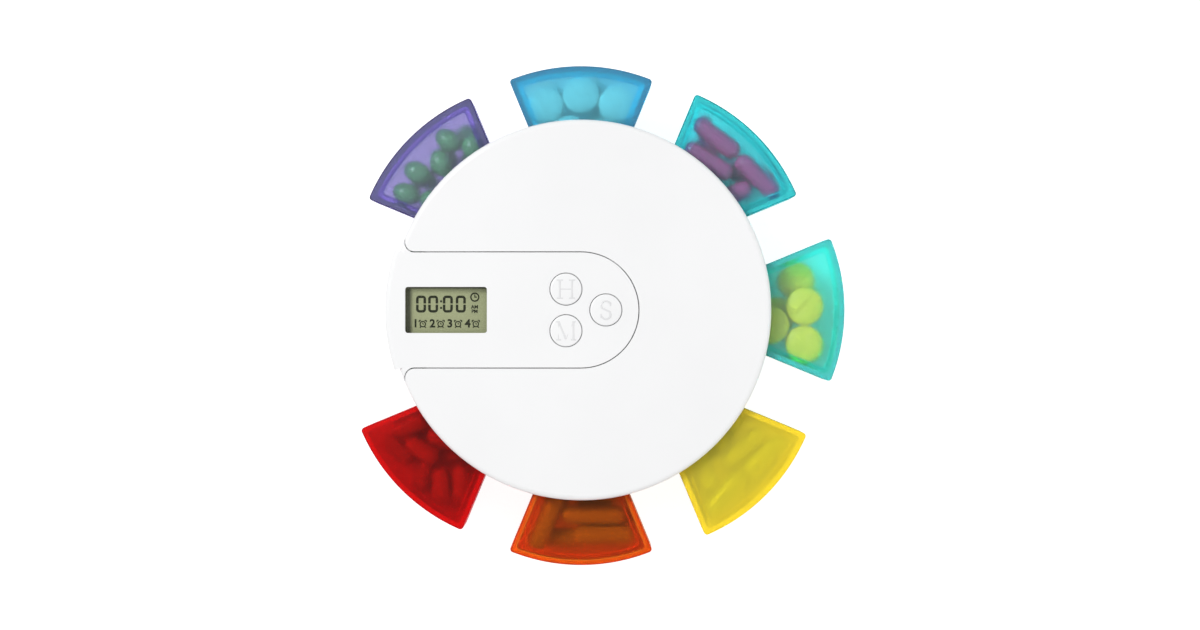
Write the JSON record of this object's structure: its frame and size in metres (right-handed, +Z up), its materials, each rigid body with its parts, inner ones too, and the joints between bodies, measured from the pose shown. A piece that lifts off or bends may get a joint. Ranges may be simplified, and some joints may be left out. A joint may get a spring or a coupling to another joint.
{
  "type": "pill dispenser with timer",
  "caption": "Round pill dispenser: a white crowned cover with a timer panel, display and push buttons, over translucent coloured wedge boxes that slide out radially.",
  "frame": {"origin": "on the axis of the round body, on the plane it rests on", "axes": "+X points from the axis away from the timer's nose, +Z is up, out of the cover"},
  "size_m": [0.1398, 0.1445, 0.0296],
  "materials": {
    "white_plastic": "white moulded plastic with a fine satin texture",
    "button_plastic": "white moulded plastic, slightly glossier than the case",
    "clear_lens": "clear polished acrylic",
    "display_glass": "olive-grey reflective display glass",
    "black_plastic": "black moulded plastic",
    "contact_rubber": "black conductive rubber",
    "board": "green circuit board",
    "ivory_plastic": "ivory moulded plastic",
    "cell_steel": "bright nickel-plated steel",
    "contact_brass": "plated spring brass",
    "screw_steel": "zinc-plated steel",
    "purple_translucent": "translucent tinted plastic, frosted",
    "blue_translucent": "translucent tinted plastic, frosted",
    "cyan_translucent": "translucent tinted plastic, frosted",
    "teal_translucent": "translucent tinted plastic, frosted",
    "yellow_translucent": "translucent tinted plastic, frosted",
    "orange_translucent": "translucent tinted plastic, frosted",
    "red_translucent": "translucent tinted plastic, frosted"
  },
  "bodies": {
    "housing": {"base_shell": "white_plastic", "cover_shell": "white_plastic", "timer_panel": "white_plastic", "lcd_lens": "clear_lens", "lcd_glass": "display_glass", "lcd_holder": "black_plastic", "zebra_strips": "contact_rubber", "circuit_board": "board", "controller_chip": "black_plastic", "buzzer": "black_plastic", "tact_switches": "black_plastic", "battery_cradle": "ivory_plastic", "coin_cell": "cell_steel", "top_contact": "contact_brass", "side_contact": "contact_brass", "case_screws": "screw_steel", "board_screws": "screw_steel", "cradle_screws": "screw_steel"},
    "hour_press": {"hour_button": "button_plastic", "hour_plunger": "ivory_plastic"},
    "minute_press": {"minute_button": "button_plastic", "minute_plunger": "ivory_plastic"},
    "set_press": {"set_button": "button_plastic", "set_plunger": "ivory_plastic"},
    "door": {"battery_door": "white_plastic"},
    "purple_box": {"purple_tray": "purple_translucent", "purple_lid": "purple_translucent"},
    "blue_box": {"blue_tray": "blue_translucent", "blue_lid": "blue_translucent"},
    "cyan_box": {"cyan_tray": "cyan_translucent", "cyan_lid": "cyan_translucent"},
    "teal_box": {"teal_tray": "teal_translucent", "teal_lid": "teal_translucent"},
    "yellow_box": {"yellow_tray": "yellow_translucent", "yellow_lid": "yellow_translucent"},
    "orange_box": {"orange_tray": "orange_translucent", "orange_lid": "orange_translucent"},
    "red_box": {"red_tray": "red_translucent", "red_lid": "red_translucent"}
  },
  "joints": [
    {"name": "hour_travel", "type": "slide", "parent": "housing", "child": "hour_press", "axis": [0, 0, -1], "range_m": [0, 0.0005], "stiffness_N_per_m": 2000},
    {"name": "minute_travel", "type": "slide", "parent": "housing", "child": "minute_press", "axis": [0, 0, -1], "range_m": [0, 0.0005], "stiffness_N_per_m": 2000},
    {"name": "set_travel", "type": "slide", "parent": "housing", "child": "set_press", "axis": [0, 0, -1], "range_m": [0, 0.0005], "stiffness_N_per_m": 2000},
    {"name": "door_turn", "type": "hinge", "parent": "housing", "child": "door", "pos_m": [-0.0396, 0, 0], "axis": [0, 0, 1], "range_deg": [0, 45]},
    {"name": "purple_slide", "type": "slide", "parent": "housing", "child": "purple_box", "axis": [-0.7071, 0.7071, 0], "range_m": [-0.0155, 0.0245]},
    {"name": "blue_slide", "type": "slide", "parent": "housing", "child": "blue_box", "axis": [0, 1, 0], "range_m": [-0.0158, 0.0242]},
    {"name": "cyan_slide", "type": "slide", "parent": "housing", "child": "cyan_box", "axis": [0.7071, 0.7071, 0], "range_m": [-0.017, 0.023]},
    {"name": "teal_slide", "type": "slide", "parent": "housing", "child": "teal_box", "axis": [1, 0, 0], "range_m": [-0.0215, 0.0185]},
    {"name": "yellow_slide", "type": "slide", "parent": "housing", "child": "yellow_box", "axis": [0.7071, -0.7071, 0], "range_m": [-0.021, 0.019]},
    {"name": "orange_slide", "type": "slide", "parent": "housing", "child": "orange_box", "axis": [0, -1, 0], "range_m": [-0.0191, 0.0209]},
    {"name": "red_slide", "type": "slide", "parent": "housing", "child": "red_box", "axis": [-0.7071, -0.7071, 0], "range_m": [-0.0188, 0.0212]}
  ]
}
